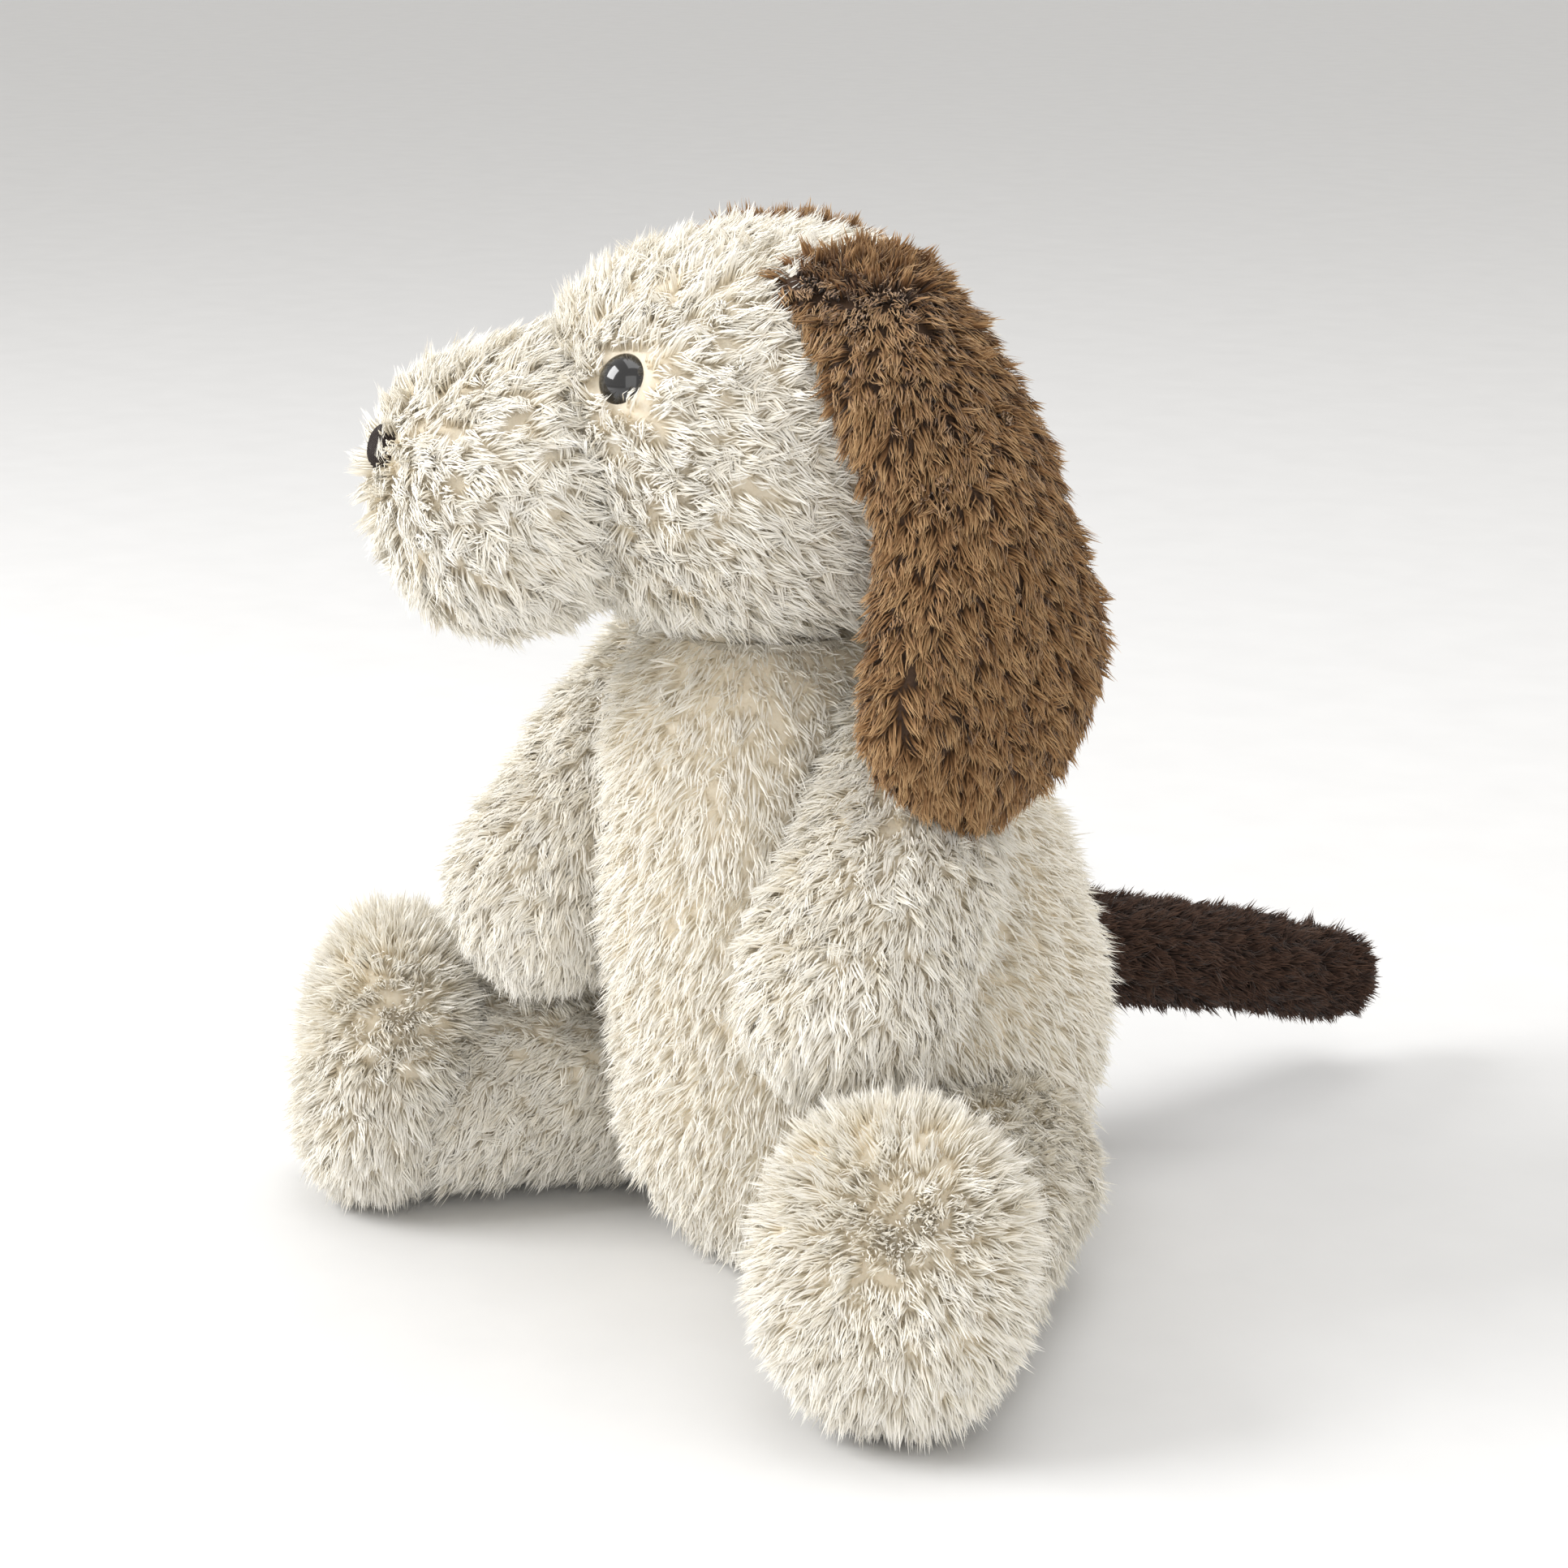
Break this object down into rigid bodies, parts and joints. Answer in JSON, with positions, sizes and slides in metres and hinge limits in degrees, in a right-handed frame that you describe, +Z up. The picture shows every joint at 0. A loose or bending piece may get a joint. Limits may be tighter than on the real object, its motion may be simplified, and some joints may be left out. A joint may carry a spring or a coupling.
{
  "type": "plush dog",
  "caption": "Seated stuffed plush dog with drooping thick ears, splayed legs, hanging arms, a tapered tail and a head turned to one side.",
  "frame": {"origin": "on the ground at the middle of the seat's flat underside", "axes": "+Z up, -Y the way the torso faces, +X the dog's own left"},
  "size_m": [0.2353, 0.2851, 0.24],
  "materials": {
    "cream_plush": "long tufted ivory pile with warmer depths",
    "golden_brown_plush": "fine tufted pile, golden tips over dark brown depths",
    "dark_brown_plush": "short dark brown pile",
    "polyester_fill": "loose white polyester fibre",
    "pouch_cloth": "plain close-woven cotton",
    "seam_thread": "spun polyester sewing thread",
    "nose_thread": "dark brown satin-stitch embroidery",
    "eye_plastic": "polished black moulded plastic",
    "washer_plastic": "natural moulded plastic",
    "pellet_plastic": "translucent white pellets"
  },
  "bodies": {
    "torso": {"back_seam": "seam_thread", "left_hip_seam": "seam_thread", "left_shoulder_seam": "seam_thread", "neck_seam": "seam_thread", "pellet_pouch": "pouch_cloth", "pellets": "pellet_plastic", "right_hip_seam": "seam_thread", "right_shoulder_seam": "seam_thread", "tail_seam": "seam_thread", "torso_cover": "cream_plush", "torso_filling": "polyester_fill"},
    "head": {"head_cover": "cream_plush", "head_filling": "polyester_fill", "left_ear_seam": "seam_thread", "left_eye": "eye_plastic", "left_eye_washer": "washer_plastic", "muzzle_cover": "cream_plush", "muzzle_filling": "polyester_fill", "muzzle_seam": "seam_thread", "nose_embroidery": "nose_thread", "right_ear_seam": "seam_thread", "right_eye": "eye_plastic", "right_eye_washer": "washer_plastic"},
    "left_ear": {"left_ear_filling": "polyester_fill", "left_ear_lining": "golden_brown_plush", "left_ear_outer": "golden_brown_plush"},
    "right_ear": {"right_ear_filling": "polyester_fill", "right_ear_lining": "golden_brown_plush", "right_ear_outer": "golden_brown_plush"},
    "left_arm": {"left_arm_cover": "cream_plush", "left_arm_filling": "polyester_fill"},
    "right_arm": {"right_arm_cover": "cream_plush", "right_arm_filling": "polyester_fill"},
    "left_leg": {"left_leg_cover": "cream_plush", "left_leg_filling": "polyester_fill", "left_sole_panel": "cream_plush"},
    "right_leg": {"right_leg_cover": "cream_plush", "right_leg_filling": "polyester_fill", "right_sole_panel": "cream_plush"},
    "tail": {"tail_cover": "dark_brown_plush", "tail_filling": "polyester_fill"}
  },
  "joints": [
    {"name": "head_turn", "type": "hinge", "parent": "torso", "child": "head", "pos_m": [0, -0.028, 0.13], "axis": [0, 0, 1], "range_deg": [-15, 60]},
    {"name": "left_ear_flap", "type": "hinge", "parent": "head", "child": "left_ear", "pos_m": [0.02814, -0.03036, 0.23], "axis": [-0.0785, -0.9969, 0], "range_deg": [0, 75]},
    {"name": "right_ear_flap", "type": "hinge", "parent": "head", "child": "right_ear", "pos_m": [-0.01698, -0.00483, 0.23], "axis": [0.8141, 0.5807, 0], "range_deg": [0, 75]},
    {"name": "left_arm_lift", "type": "hinge", "parent": "torso", "child": "left_arm", "pos_m": [0.042, -0.016, 0.127], "axis": [-1, 0, 0], "range_deg": [0, 15]},
    {"name": "right_arm_lift", "type": "hinge", "parent": "torso", "child": "right_arm", "pos_m": [-0.042, -0.016, 0.127], "axis": [-1, 0, 0], "range_deg": [0, 15]},
    {"name": "left_leg_splay", "type": "hinge", "parent": "torso", "child": "left_leg", "pos_m": [0.048, -0.002, 0.027], "axis": [0, 0, 1], "range_deg": [-6, 30]},
    {"name": "right_leg_splay", "type": "hinge", "parent": "torso", "child": "right_leg", "pos_m": [-0.048, -0.002, 0.027], "axis": [0, 0, -1], "range_deg": [-6, 30]},
    {"name": "tail_wag", "type": "hinge", "parent": "torso", "child": "tail", "pos_m": [0, 0.05, 0.059], "axis": [0, 0, 1], "range_deg": [-20, 20]}
  ]
}
